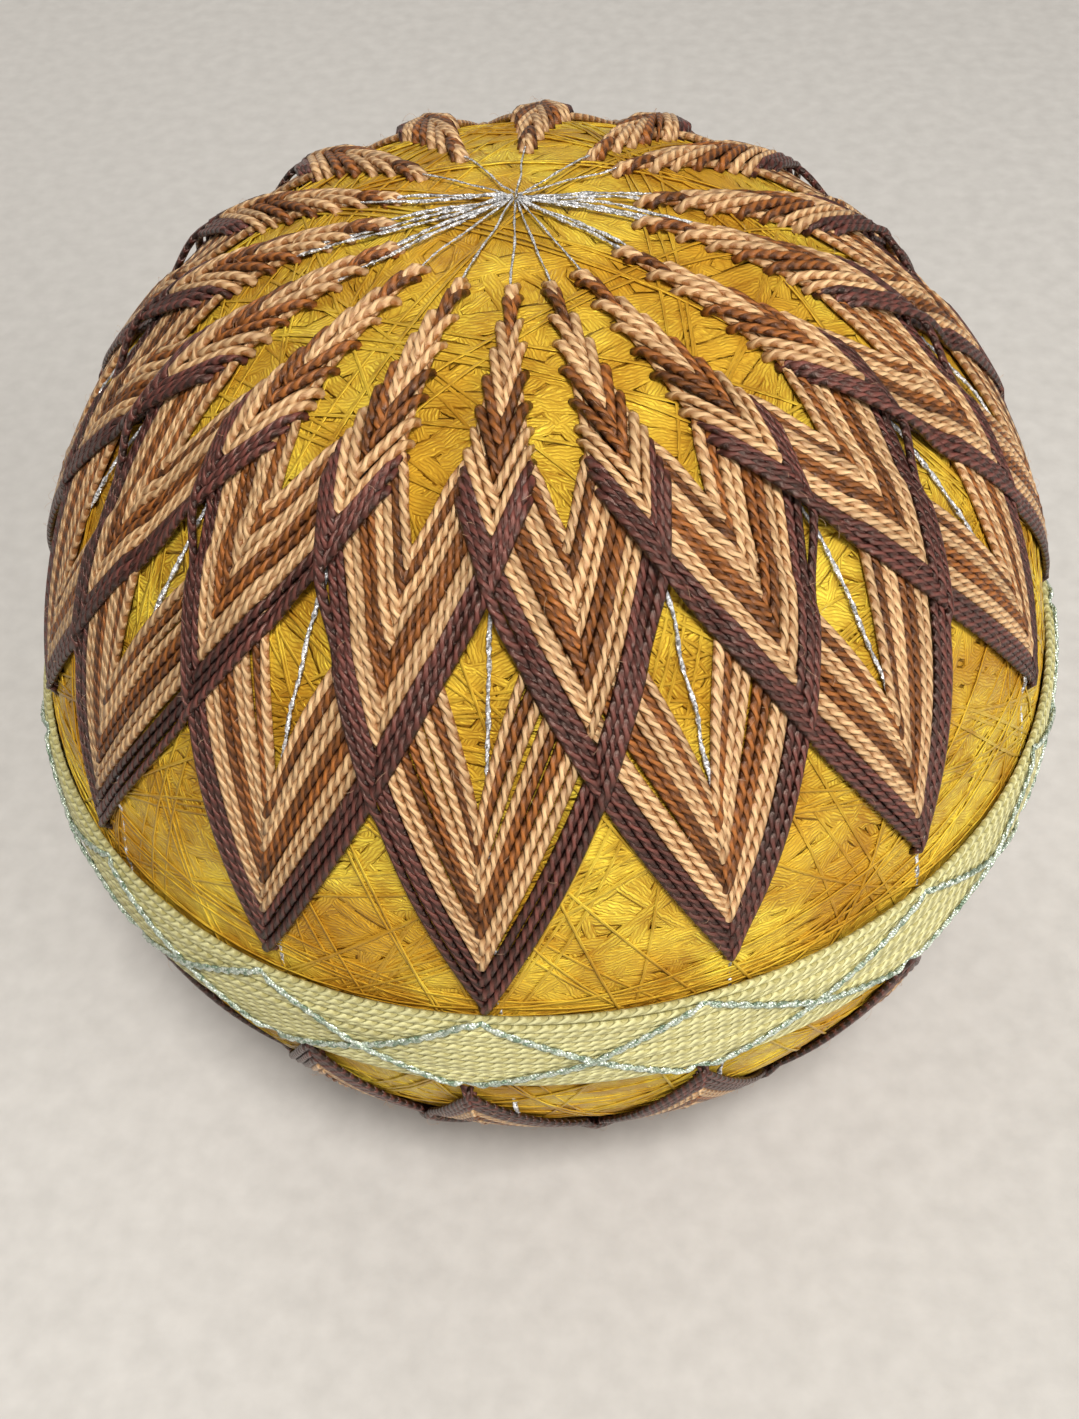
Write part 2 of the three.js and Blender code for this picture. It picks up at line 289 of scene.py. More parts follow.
class Recipe:
    """Short calls for building one material's nodes. A value is a number, a tuple or a socket."""

    def __init__(self, name):
        self.material = bpy.data.materials.new(name)
        self.material.use_nodes = True
        self.tree = self.material.node_tree
        self.shader = self.tree.nodes["Principled BSDF"]

    def feed(self, socket, value):
        if isinstance(value, bpy.types.NodeSocket):
            self.tree.links.new(value, socket)
        elif isinstance(value, tuple) and len(value) == 3 and socket.type == "RGBA":
            socket.default_value = (*value, 1)
        else:
            socket.default_value = value

    def node(self, kind, **inputs):
        made = self.tree.nodes.new(kind)
        for name, value in inputs.items():
            self.feed(made.inputs[name.replace("_", " ")], value)
        return made

    def math(self, operation, a, b=0.0, clamp=False):
        made = self.tree.nodes.new("ShaderNodeMath")
        made.operation = operation
        made.use_clamp = clamp
        self.feed(made.inputs[0], a)
        self.feed(made.inputs[1], b)
        return made.outputs[0]

    def add(self, a, b):
        return self.math("ADD", a, b)

    def minus(self, a, b):
        return self.math("SUBTRACT", a, b)

    def times(self, a, b):
        return self.math("MULTIPLY", a, b)

    def vector_math(self, operation, a, b):
        made = self.tree.nodes.new("ShaderNodeVectorMath")
        made.operation = operation
        self.feed(made.inputs[0], a)
        self.feed(made.inputs[1], b)
        return made.outputs["Value"] if operation == "DOT_PRODUCT" else made.outputs[0]

    def vector(self, x, y, z):
        return self.node("ShaderNodeCombineXYZ", X=x, Y=y, Z=z).outputs[0]

    def mix(self, share, a, b, blend_type="MIX"):
        made = self.tree.nodes.new("ShaderNodeMix")
        made.data_type = "RGBA"
        made.blend_type = blend_type
        self.feed(made.inputs[0], share)
        self.feed(made.inputs[6], a)
        self.feed(made.inputs[7], b)
        return made.outputs[2]

    def shade(self, colour, factor):
        return self.mix(1.0, colour, self.vector(factor, factor, factor), "MULTIPLY")

    def noise(self, vector, scale, detail=2.0, rough=0.5):
        made = self.node(
            "ShaderNodeTexNoise", Vector=vector, Scale=scale, Detail=detail, Roughness=rough
        )
        return made.outputs["Fac"]

    def chance(self, x, y):
        """A fixed number from 0 to 1 for each pair of whole numbers."""
        made = self.tree.nodes.new("ShaderNodeTexWhiteNoise")
        made.noise_dimensions = "2D"
        self.feed(made.inputs["Vector"], self.vector(x, y, 0.0))
        return made.outputs["Value"]

    def span(self, value, low, high, to_low=0.0, to_high=1.0):
        made = self.tree.nodes.new("ShaderNodeMapRange")
        self.feed(made.inputs["Value"], value)
        for name, number in (
            ("From Min", low),
            ("From Max", high),
            ("To Min", to_low),
            ("To Max", to_high),
        ):
            made.inputs[name].default_value = number
        return made.outputs[0]

    def uv(self, name):
        made = self.tree.nodes.new("ShaderNodeUVMap")
        made.uv_map = name
        split = self.node("ShaderNodeSeparateXYZ", Vector=made.outputs[0])
        return split.outputs["X"], split.outputs["Y"]

    def place(self):
        """Where a point of the surface is on the object, in millimetres."""
        made = self.tree.nodes.new("ShaderNodeTexCoord")
        scaled = self.node("ShaderNodeVectorMath")
        scaled.operation = "SCALE"
        self.feed(scaled.inputs[0], made.outputs["Object"])
        scaled.inputs["Scale"].default_value = 1 / MM
        return scaled.outputs[0]

    def bump(self, height, depth):
        """The normal over a height from 0 to 1 that stands for depth millimetres."""
        made = self.node("ShaderNodeBump", Strength=1.0, Distance=depth * MM, Height=height)
        return made.outputs[0]

    def finish(self, colour, roughness, normal, **constants):
        self.feed(self.shader.inputs["Base Color"], colour)
        self.feed(self.shader.inputs["Roughness"], roughness)
        self.feed(self.shader.inputs["Normal"], normal)
        for name, value in constants.items():
            self.feed(self.shader.inputs[name.replace("_", " ")], value)
        return self.material


def linear(r, g, b):
    """A colour given in display values from 0 to 255, as the renderer's linear values."""
    shares = [x / 255 for x in (r, g, b)]
    return tuple(
        x / 12.92 if x <= 0.04045 else ((x + 0.055) / 1.055) ** 2.4 for x in shares
    )


def cotton_material(name, light, dark, gloss, shine, fuzz, uneven):
    """Two-ply cotton. Seen from outside, two round plies half as thick as the thread wind
    round each other, and the height is that of whichever ply is in front. The colour holds
    painted light: painted shade darkens the grooves between the plies and the thread's
    sides, and a painted highlight lightens its middle. gloss is the least roughness, shine
    the specular level, fuzz the loose fibre and uneven the dye's variation."""
    m = Recipe(name)
    along, around = m.uv("thread")
    strand, _ = m.uv("strand")
    strand_seed = m.times(strand, 500.0)
    slip = m.times(m.noise(m.vector(m.times(along, 0.2), strand_seed, 4.0), 1.0), 1.6)
    wind = m.add(m.times(along, 2 * math.pi / COTTON_PITCH), slip)
    lateral = m.times(m.math("SINE", m.times(around, 2 * math.pi)), 2.0)
    sway = m.math("SINE", wind)
    rise = m.math("COSINE", wind)
    tops = []
    for sign in (1, -1):
        off = m.add(lateral, m.times(sway, sign))
        under_root = m.minus(1.0, m.times(off, off))
        arch = m.math("SQRT", m.math("MAXIMUM", under_root, 0.0))
        missed = m.times(m.math("MINIMUM", under_root, 0.0), 1.5)
        tops.append(m.add(m.add(m.times(rise, sign), arch), missed))
    front = m.math("MAXIMUM", tops[0], tops[1])
    round_root = m.minus(1.0, m.times(m.times(lateral, lateral), 0.25))
    thread_round = m.times(m.math("SQRT", m.math("MAXIMUM", round_root, 0.0)), 2.0)
    relief = m.math("MAXIMUM", m.minus(front, thread_round), -1.6)
    first = m.math("GREATER_THAN", tops[0], tops[1])
    ply_place = m.add(lateral, m.times(sway, m.span(first, 0.0, 1.0, -1.0, 1.0)))
    fibre = m.noise(
        m.vector(m.times(along, 1.3), m.times(ply_place, 5.0), m.add(strand_seed, first)),
        1.0,
        3.0,
        0.65,
    )
    drift = m.noise(m.vector(m.times(along, 0.16), strand_seed, 0.0), 1.0, 1.0)
    # Painted highlight: across the thread the colour is lighter in the middle and darker towards
    # the sides.
    crest_highlight = m.span(m.math("ABSOLUTE", lateral), 0.2, 1.9, 0.36, 0.0)
    # Painted shade: the colour goes towards dark in the grooves between the plies, where relief
    # is low. The tone also holds random fibre and drift tone.
    painted_light_and_tone = m.add(m.times(m.span(relief, -1.3, -0.05), 0.56), crest_highlight)
    painted_light_and_tone = m.add(painted_light_and_tone, m.span(fibre, 0.3, 0.7, -0.14, 0.2))
    painted_light_and_tone = m.math("ADD", painted_light_and_tone, m.span(drift, 0.3, 0.7, -0.06, 0.06), clamp=True)
    # dark is the painted shade colour, light the colour of the thread's lit middle.
    colour = m.mix(painted_light_and_tone, dark, light)
    dye = m.noise(m.vector(strand_seed, m.times(along, 0.07), 7.7), 1.0, 2.0)
    colour = m.shade(colour, m.span(dye, 0.38, 0.62, 1.0 - uneven, 1.0 + uneven))
    pulled_flat = m.span(along, 0.5, 7.0, 0.5, 1.0)
    height = m.add(m.times(relief, pulled_flat), m.times(fibre, 0.3 + 0.4 * fuzz))
    roughness = m.span(fibre, 0.2, 0.8, gloss - 0.08, gloss + 0.14)
    return m.finish(
        colour,
        roughness,
        m.bump(height, PLY_RELIEF),
        Specular_IOR_Level=shine,
        Specular_Tint=(1.0, 0.78, 0.68, 1),
        Sheen_Weight=0.01 + 0.04 * fuzz,
        Sheen_Roughness=0.4,
        Sheen_Tint=light,
    )


def golden_material(name, lit, body, shade, lanes):
    """Fine glossy sewing thread, a little crinkled. Where lanes is true the surface is a flat
    bundle of such threads side by side, and otherwise one thread. The colour holds painted
    light: painted shade in the valleys between the threads and, for a bundle, at its two
    edges, and painted highlights as short glints along the threads' crests."""
    m = Recipe(name)
    along, around = m.uv("thread")
    strand, share_around = m.uv("strand")
    strand_seed = m.times(strand, 500.0)
    off_crest = m.math("ABSOLUTE", m.minus(share_around, 0.5))
    # Painted shade: a bundle's colour darkens towards its two edges.
    edge = m.span(off_crest, 0.14, 0.24, 0.0, 0.18) if lanes else 0.0
    if lanes:
        crinkle = m.noise(m.place(), 1.1, 2.0, 0.6)
        sway = m.noise(m.vector(m.times(along, 0.5), strand_seed, 2.0), 1.0, 2.0)
        lane_place = m.add(m.times(around, 1 / SEWING_THREAD), m.times(sway, 2.0))
        lane_place = m.add(lane_place, m.times(crinkle, 2.0))
        lane = m.math("FLOOR", lane_place)
        inside = m.math("FRACT", lane_place)
    else:
        lane = strand_seed
        inside = m.math("FRACT", m.times(around, 2.0))
    # The ridge of each thread lightens its middle and darkens the valleys between threads in the
    # colour, as painted shade; in the height it is a bump.
    ridge = m.math("POWER", m.math("SINE", m.times(inside, math.pi)), 0.7)
    pick = m.chance(lane, strand_seed)
    dash_place = m.add(m.times(along, 1.7), m.add(m.times(inside, 0.9), m.times(pick, 19.0)))
    # Painted highlights: short bright dashes on the threads' crests, used in colour, bump and
    # roughness.
    dash = m.span(m.noise(m.vector(dash_place, lane, strand_seed), 1.0, 1.0), 0.4, 0.7)
    glint = m.times(dash, ridge)
    hairs = m.noise(m.vector(m.times(along, 2.0), m.times(around, 16.0), strand_seed), 1.0, 2.0)
    patch = m.noise(m.place(), 0.28, 3.0)
    # The tone mixes painted shade and highlight from ridge, glint and edge with random tone from
    # hairs, patch and pick.
    painted_light_and_tone = m.add(m.times(ridge, 0.16), m.times(glint, 0.6))
    painted_light_and_tone = m.add(painted_light_and_tone, m.span(hairs, 0.3, 0.7, -0.03, 0.04))
    painted_light_and_tone = m.minus(m.add(painted_light_and_tone, m.span(patch, 0.35, 0.65, -0.05, 0.36)), edge)
    painted_light_and_tone = m.math("ADD", painted_light_and_tone, m.times(pick, 0.1), clamp=True)
    glow = m.noise(m.place(), 0.12, 2.0)
    # Where the tone is low the colour goes to shade, the painted shade colour.
    colour = m.mix(painted_light_and_tone, shade, m.mix(m.span(glow, 0.4, 0.64), body, lit))
    height = m.add(m.times(ridge, 0.2), m.times(glint, 0.75))
    height = m.add(height, m.add(m.times(pick, 0.2), m.times(hairs, 0.05)))
    return m.finish(
        colour,
        m.span(glint, 0.0, 0.9, 0.44, 0.22),
        m.bump(height, BUNDLE_RELIEF if lanes else SINGLE_RELIEF),
        Specular_IOR_Level=0.7,
        Specular_Tint=(*lit, 1),
    )


def metal_material(name, light, dark, facet_size, glitter, metallic):
    """Metallised thread: thin shining strips wound round a core, whose facets, facet_size
    millimetres across, lean by glitter and so sparkle. The colour is darkened in the seams
    between the strips as painted shade."""
    m = Recipe(name)
    along, around = m.uv("thread")
    strand, _ = m.uv("strand")
    strand_seed = m.times(strand, 500.0)
    spot = m.vector(
        m.times(along, 1 / facet_size), m.times(around, 1.1 / facet_size), strand_seed
    )
    cells = m.node("ShaderNodeTexVoronoi", Vector=spot, Scale=1.0)
    inside = m.vector_math("SUBTRACT", spot, cells.outputs["Position"])
    lean = m.vector_math("SUBTRACT", cells.outputs["Color"], (0.5, 0.5, 0.5))
    facet = m.vector_math("DOT_PRODUCT", inside, lean)
    split = m.node("ShaderNodeSeparateXYZ", Vector=cells.outputs["Color"])
    pick = split.outputs["X"]
    winding_place = m.add(m.times(along, 4.3), m.times(around, 1.0))
    wrap = m.math("ABSOLUTE", m.math("SINE", m.times(winding_place, math.pi)))
    colour = m.mix(m.span(pick, 0.1, 0.7), dark, light)
    # Painted shade: the colour darkens in the seams between the strips, where wrap is low.
    colour = m.shade(colour, m.span(wrap, 0.0, 0.6, 0.7, 1.0))
    height = m.add(m.times(facet, glitter), m.times(wrap, 0.3))
    return m.finish(
        colour,
        m.span(pick, 0.0, 1.0, 0.4, 0.12),
        m.bump(height, METAL_RELIEF),
        Metallic=metallic,
        Specular_IOR_Level=0.8,
    )


# The wound base

CORE_LIFT = 0.01
CORE_LUMP = 0.04
LUMPS_PER_RADIUS = 9.0
TURN_STEPS = 72

# Flat bundles of thread: the first share of them lies any way, and the rest is tilted by so many
# degrees from level, each up to so many millimetres off the ball's middle
BUNDLES = 262
ANY_WAY = 0.4
TILT = (5, 72)
BUNDLE_OFF_MIDDLE = 6.0
BUNDLE_HALF_WIDTH = (0.28, 0.95)
BUNDLE_HALF_HEIGHT = 0.07

# Single threads in loose groups over the bundles
SINGLE_GROUPS = 58
SINGLES_IN_GROUP = (1, 4)
SINGLE_OFF_MIDDLE = 14.0
SINGLE_SPACING = (0.18, 0.4)
SINGLE_HALF_THREAD = 0.12


def wound_core(material):
    """The body of the ball under the outer turns: round, a little lumpy, flat at its foot."""
    made = bmesh.new()
    bmesh.ops.create_icosphere(made, subdivisions=5, radius=1.0)
    directions = np.array([v.co for v in made.verts])
    lumps = np.array([noise.noise(Vector(d * LUMPS_PER_RADIUS)) for d in directions])
    radii = BALL_RADIUS + CORE_LIFT + CORE_LUMP * lumps
    placed = rest_on_floor(directions * radii[:, None])
    for vertex, point in zip(made.verts, placed):
        vertex.co = point
    for face in made.faces:
        face.smooth = True
    mesh = bpy.data.meshes.new("winding_core")
    made.to_mesh(mesh)
    made.free()
    wound = mesh.uv_layers.new(name="thread")
    marks = mesh.uv_layers.new(name="strand")
    loops = np.zeros(len(mesh.loops), np.int32)
    mesh.loops.foreach_get("vertex_index", loops)
    spots = directions[loops]
    lengths = np.arctan2(spots[:, 1], spots[:, 0]) * BALL_RADIUS
    levels = spots[:, 2] * BALL_RADIUS
    wound.data.foreach_set("uv", np.stack([lengths, levels], 1).ravel())
    marks.data.foreach_set("uv", np.full(2 * len(mesh.loops), 0.37))
    mesh.materials.append(material)
    core = bpy.data.objects.new("winding_core", mesh)
    bpy.context.scene.collection.objects.link(core)
    return core


def turn_round(axis, height, radius, sway, steps):
    """A closed turn round the ball about axis, height off its middle, swaying as it goes."""
    side = unit(np.cross(axis, [0.31, 0.77, 0.55]))
    other = np.cross(axis, side)
    turn = np.linspace(0, 2 * math.pi, steps, endpoint=False)
    level = height + sway[0] * np.sin(turn * sway[1] + sway[2])
    ring = np.sqrt(radius**2 - level**2)
    return (
        side * (ring * np.cos(turn))[:, None]
        + other * (ring * np.sin(turn))[:, None]
        + axis * level[:, None]
    )


def winding(bundle_material, single_material):
    """The outer turns, wound round the ball in every direction: flat bundles of fine thread,
    and single threads over them."""
    random = np.random.RandomState(11)
    bundles = Yarns(5, flat=True)
    for bundle in range(BUNDLES):
        axis = unit(random.normal(size=3))
        lift = random.uniform(-0.02, 0.04)
        if bundle > BUNDLES * ANY_WAY:
            axis = direction(random.uniform(*TILT), random.uniform(0, 360))
            lift = random.uniform(0.02, 0.1)
        half_width = random.uniform(*BUNDLE_HALF_WIDTH)
        sway = (random.uniform(0.1, 0.5), random.randint(1, 4), random.uniform(0, 6))
        height = random.uniform(-BUNDLE_OFF_MIDDLE, BUNDLE_OFF_MIDDLE)
        line = turn_round(axis, height, BALL_RADIUS + lift, sway, TURN_STEPS)
        bundles.add(
            line,
            half_width,
            BUNDLE_HALF_HEIGHT,
            random.uniform(),
            closed=True,
            stretch=(1.0, half_width),
        )
    singles = Yarns(3)
    for group in range(SINGLE_GROUPS):
        axis = direction(90 * random.uniform() ** 0.8, random.uniform(0, 360))
        lift = random.uniform(0.1, 0.22)
        height = random.uniform(-SINGLE_OFF_MIDDLE, SINGLE_OFF_MIDDLE)
        for thread in range(random.randint(*SINGLES_IN_GROUP)):
            lean = unit(axis + random.normal(size=3) * 0.02)
            sway = (0.5, random.randint(2, 8), random.uniform(0, 6))
            level = height + thread * random.uniform(*SINGLE_SPACING)
            radius = BALL_RADIUS + lift + random.uniform(-0.04, 0.04)
            line = turn_round(lean, level, radius, sway, TURN_STEPS + 8)
            mark = random.uniform()
            singles.add(line, SINGLE_HALF_THREAD, SINGLE_HALF_THREAD, mark, closed=True)
    return [
        bundles.build("winding_bundles", bundle_material),
        singles.build("winding_singles", single_material),
    ]


# The two kiku

COLUMN_CURL = 1.5

# Steps along a row while it is laid out and along the finished strand, and how far it goes on
# past the petal's tip
FINE_STEP = 0.25
TUBE_STEP = 0.85
TIP_OVERSHOOT = 0.75

# How far a row takes to rise at its stitch, to sink into the column, and to climb on to others
STITCH_RISE = 0.7
COLUMN_SINK = 0.8
CLIMB = 0.8
HIDDEN_INSET = 0.62

# Gaps between the rows: after which row one may lie, how wide, those of one arm in front as rows
# and widths, and how much closer the last rows lie
GAP_ROWS = (1, 2, 3, 5, 7)
WIDEST_GAP = 0.3
FRONT_GAPS = ([2, 3, 7, 8], [-0.25, -0.05, -0.05, 0.25])
PLUM_SQUEEZE = 0.16

FIBRES = 1500
FIBRE_HALF_THICKNESS = 0.009


def column_lean(colatitude):
    """The share of a column's stray at its top that is left at a colatitude."""
    way_up = (COLUMN_FOOT - np.asarray(colatitude)) / (COLUMN_FOOT - COLUMN_TOP)
    return np.clip(way_up, 0, 1.1) ** COLUMN_CURL


def column_spot(k, colatitude, lateral):
    """A direction on column k, lateral millimetres to the right of its middle line."""
    lean = STRAY[k]["top"] * column_lean(colatitude)
    width = SKIN_RADIUS * np.sin(np.radians(colatitude))
    return direction(colatitude, k * SECTOR + lean + np.degrees(lateral / width))


def foot(k, side, share):
    """Where a row leaves the column, for the row's share of the way from first to last."""
    colatitude = blend(FOOT_EDGE, COLUMN_FOOT, share)
    return column_spot(k, colatitude, side * (1 - share) * FOOT_HALF_WIDTH)


def tip(k, share, lower):
    """Where a row turns at petal k."""
    stray = LOWER_STRAY.get(k, STRAY[k]) if lower else STRAY[k]
    return direction(blend(FIRST_TIP, stray["reach"], share), k * SECTOR + stray["tip"])


def band_bow(row_share, way):
    """How far a row bows towards the side where later rows lie, in millimetres. way is the
    share of its way from the column's foot to the petal's tip."""
    arch = blend(0.45, 1.05, row_share) * np.sin(math.pi * way)
    swing = blend(0.32, 0.0, row_share) * np.sin(2 * math.pi * way)
    return arch + swing


def crossing_distance(row_share, start, end, other_start, other_end):
    """How many millimetres from start a row's arc to end crosses another row's, when both
    bow."""
    normal = unit(np.cross(start, end))
    other_normal = unit(np.cross(other_start, other_end))
    meet = unit(np.cross(normal, other_normal))
    if meet @ (start + end) < 0:
        meet = -meet
    straight = math.acos(np.clip(start @ meet, -1, 1))
    whole = math.acos(np.clip(start @ end, -1, 1))
    half_angle = math.acos(np.clip(abs(normal @ other_normal), -1, 1)) / 2
    bow = band_bow(row_share, straight / whole)
    return straight * SKIN_RADIUS + bow / math.tan(half_angle)


def arc(start, end, step):
    """Points about step millimetres apart on the great circle between two directions."""
    angle = math.acos(np.clip(start @ end, -1, 1))
    count = max(3, int(angle * SKIN_RADIUS / step) + 1)
    share = np.linspace(0, 1, count)[:, None]
    return (
        np.sin((1 - share) * angle) * start + np.sin(share * angle) * end
    ) / math.sin(angle)


def stitched_part(k, side, row, random):
    """The start of a row: from its stitch at the column's edge up to the column's middle."""
    _, edge, crossing = ROWS[row]
    half = np.interp(edge, COLUMN_EDGES, COLUMN_HALVES)
    rim = np.interp(edge, COLUMN_EDGES, COLUMN_RIMS) - COTTON_HALF_HEIGHT
    ridge = np.interp(edge, COLUMN_EDGES, COLUMN_RIDGES) - COTTON_HALF_HEIGHT
    over = 0.02 * row + (0.14 if side > 0 else -0.02)
    stray = random.uniform(-0.3, 0.3, 2)
    start = column_spot(k, edge + stray[0], -side * half)
    line = arc(start, column_spot(k, crossing + stray[1], 0.0), FINE_STEP)
    rise = ease(np.arange(len(line)) * FINE_STEP / STITCH_RISE)
    return line, blend(SUNK, np.linspace(rim, ridge + over, len(line)), rise)


def hidden_part(k, side, row, start_radius):
    """The stretch of a row that runs down the column under the stitches of later rows."""
    share = row / LAST_ROW
    crossing = ROWS[row][2]
    leave = blend(FOOT_EDGE, COLUMN_FOOT, share)
    count = int(abs(leave - crossing) * math.radians(SKIN_RADIUS) / FINE_STEP) + 4
    colatitude = np.linspace(crossing, leave, count)
    half = np.interp(colatitude, COLUMN_EDGES, COLUMN_HALVES)
    spread = ease(np.linspace(0, 1, count) / 0.35)
    lateral = side * (1 - share) * np.maximum(half - HIDDEN_INSET, 0.03) * spread
    lateral[-1] = side * (1 - share) * FOOT_HALF_WIDTH
    line = column_spot(k, colatitude, lateral).T
    rim = np.interp(colatitude, COLUMN_EDGES, COLUMN_RIMS)
    sink = ease(np.arange(count) * FINE_STEP / COLUMN_SINK)
    radius = blend(start_radius - 0.1, np.maximum(ONE_LAYER - 0.15, rim - 0.75), sink)
    return line[1:], radius[1:]


def band_part(k, side, row, start_radius, gap, lower, random):
    """The stretch of a row from the column's foot to the petal's tip: over the rows of the
    neighbouring column as far as the middle between the two, and under them after it."""
    share = row / LAST_ROW
    nearby = (k + side) % MERIDIANS
    start = foot(k, side, share)
    end = tip(nearby, share, lower)
    line = arc(start, end, FINE_STEP)[1:]
    gone = np.arange(1, len(line) + 1) * FINE_STEP
    to_go = gone[-1] - gone
    first_way = foot(nearby, -side, 0.0), tip(k, 0.0, lower)
    mate_way = foot(nearby, -side, share), tip(k, share, lower)
    first = crossing_distance(share / 2, start, end, *first_way)
    mate = crossing_distance(share, start, end, *mate_way)
    hold = 0.35 if k % 2 else -0.55
    up = ease((gone - first + CLIMB) / CLIMB)
    down = ease((gone - mate - hold) / CLIMB)
    radius = ONE_LAYER + (TWO_LAYERS - ONE_LAYER) * up * (1 - down) + 0.03 * share
    settle = 1 - ease(gone / (5.0 if row == LAST_ROW else 2.0))
    radius = np.maximum(radius, blend(radius, start_radius, settle))
    tip_lift = 0.22 if side < 0 else 0.0
    radius = radius + tip_lift * ease(1 - to_go / 1.2)
    stray = smooth(random.normal(size=len(line)), 12.0) * 0.22
    way = gone / gone[-1]
    bow = band_bow(share, way) + gap * np.sin(math.pi * way)
    wander = stray * ease(to_go / 3.0) * ease(gone / 3.0) + bow
    outer = np.cross(unit(line), unit(np.gradient(line, axis=0))) * -side
    return unit(line + outer * (wander / SKIN_RADIUS)[:, None]), radius


def arm(k, side, row, gap, lower, random):
    """The line of one row from its stitch on column k to the tip of the petal on that side."""
    line, radius = stitched_part(k, side, row, random)
    lines = [line]
    radii = [radius]
    if row < LAST_ROW:
        line, radius = hidden_part(k, side, row, radii[0][-1])
        lines.append(line)
        radii.append(radius)
    line, radius = band_part(k, side, row, radii[-1][-1], gap, lower, random)
    lines.append(line)
    radii.append(radius)
    ahead = (line[-1] - line[-6]) / (5 * FINE_STEP)
    past = arc(line[-1], unit(line[-1] + ahead * TIP_OVERSHOOT), FINE_STEP / 2)[1:]
    lines.append(past)
    radii.append(blend(radius[-1], SUNK, ease(np.linspace(0, 1, len(past)))))
    smoothed = unit(smooth(np.concatenate(lines), 2.2))
    radius = smooth(np.concatenate(radii), 1.2)
    return evenly(smoothed * radius[:, None], TUBE_STEP)


def kiku_lines(lower, seed):
    """The lines of all rows round one pole, as pairs of yarn and line, the first row first."""
    random = np.random.RandomState(seed)
    gaps = {}
    rows = np.arange(len(ROWS))
    for k in range(MERIDIANS):
        for side in (1, -1):
            after = random.choice(GAP_ROWS)
            width = random.uniform(0, WIDEST_GAP)
            gaps[k, side] = (rows > after) * width - width / 2
    if not lower:
        gaps[1, -1] = np.interp(rows, *FRONT_GAPS)
    squeeze = np.interp(rows, [PLUM_ROW, LAST_ROW], [0.0, PLUM_SQUEEZE])
    lines = []
    for row, (yarn, _, _) in enumerate(ROWS):
        for k in range(MERIDIANS):
            for side in (1, -1):
                gap = gaps[k, side][row] - squeeze[row]
                line = arm(k, side, row, gap, lower, random)
                if lower:
                    line = line * np.array([1, -1, -1])
                lines.append((yarn, line))
    return lines


def kiku(name, lines, materials, seed):
    """The stitched rows round one pole, one piece for each yarn."""
    random = np.random.RandomState(seed)
    yarns = {yarn: Yarns(COTTON_SIDES) for yarn in materials}
    for yarn, line in lines:
        swell = 1 + 0.3 * smooth(random.normal(size=len(line)), 3.0)
        yarns[yarn].add(line, COTTON_HALF_WIDTH * swell, COTTON_HALF_HEIGHT, random.uniform())
    return [y.build(f"{name}_{yarn}", materials[yarn]) for yarn, y in yarns.items()]


def loose_fibres(lines, material):
    """Short fine fibres that stand off the cotton."""
    random = np.random.RandomState(33)
    yarns = Yarns(3)
    for fibre in range(FIBRES):
        line = lines[random.randint(len(lines))][1]
        start = line[random.randint(3, len(line) - 2)]
        outward = unit(start)
        lean = random.normal(size=3)
        lean = unit(lean - outward * (lean @ outward))
        curl = unit(np.cross(outward, lean)) * random.uniform(-0.9, 0.9)
        length = random.uniform(0.3, 1.0)
        share = np.linspace(0, 1, 5)[:, None]
        rise = 0.2 + 0.5 * np.sin(share * random.uniform(1.6, 3.4)) * length
        path = start + lean * share * length + curl * share**2 * length + outward * rise
        yarns.add(path, FIBRE_HALF_THICKNESS, FIBRE_HALF_THICKNESS, random.uniform())
    return yarns.build("loose_fibres", material)


# The belt and the metallic threads

BELT_HALF_HEIGHT = 4.2
BELT_ROWS = 15
BELT_STEPS = 150
BELT_SWELL = 0.4
BELT_EDGE_DROP = 0.18
BELT_STAGGER = 0.06
ZIGZAG_REACH = 4.2
ZIGZAG_HEIGHT = 0.46
ZIGZAG_STEPS = 56
ZIGZAG_HALF_WIDTH = 0.19
ZIGZAG_HALF_HEIGHT = 0.12
ZIGZAG_TWIST = 2.1

# How far the zigzag's corners stray from the meridians, in degrees, at the belt's two edges
UPPER_CORNERS = {14: -2.0, 15: -1.8, 0: -1.6, 1: -3.1, 2: -0.1}
LOWER_CORNERS = {15: -2.5, 0: -4.0, 1: -3.5, 2: -1.0}

MARKING_HALF_THREAD = 0.15
MARKING_RADIUS = SKIN_RADIUS + 0.16
MARKING_STEP = 0.36
MARKING_UNDER_BELT = 0.4
POLE_STRANDS = {3: 2, 4: 3, 5: 2, 11: 2, 12: 3, 13: 2}


def belt(material):
    """Level rows of cotton round the middle of the ball, heaped a little along its middle."""
    random = np.random.RandomState(5)
    yarns = Yarns(COTTON_SIDES)
    pitch = 2 * BELT_HALF_HEIGHT / BELT_ROWS
    turn = np.linspace(0, 2 * math.pi, BELT_STEPS, endpoint=False)
    for row in range(BELT_ROWS):
        height = -BELT_HALF_HEIGHT + (row + 0.5) * pitch
        heap = BELT_SWELL * (1 - (height / BELT_HALF_HEIGHT) ** 2)
        heap = heap - BELT_EDGE_DROP * (height / BELT_HALF_HEIGHT) ** 8
        stagger = BELT_STAGGER * (row % 2)
        wander = random.uniform(0, 6, 2)
        sway = 0.07 * np.sin(3 * turn + wander[0]) + 0.05 * np.sin(7 * turn + wander[1])
        radius = ONE_LAYER + heap + stagger + 0.03 * np.sin(5 * turn + wander[1])
        line = np.stack(
            [radius * np.cos(turn), radius * np.sin(turn), height + sway], 1
        )
        length = distances(np.concatenate([line, line[:1]]))[-1]
        whole = round(length / COTTON_PITCH) * COTTON_PITCH / length
        half_width = pitch / 2 + 0.05
        mark = random.uniform()
        yarns.add(line, half_width, COTTON_HALF_HEIGHT, mark, closed=True, stretch=(whole, 1))
    return yarns.build("belt_rows", material)


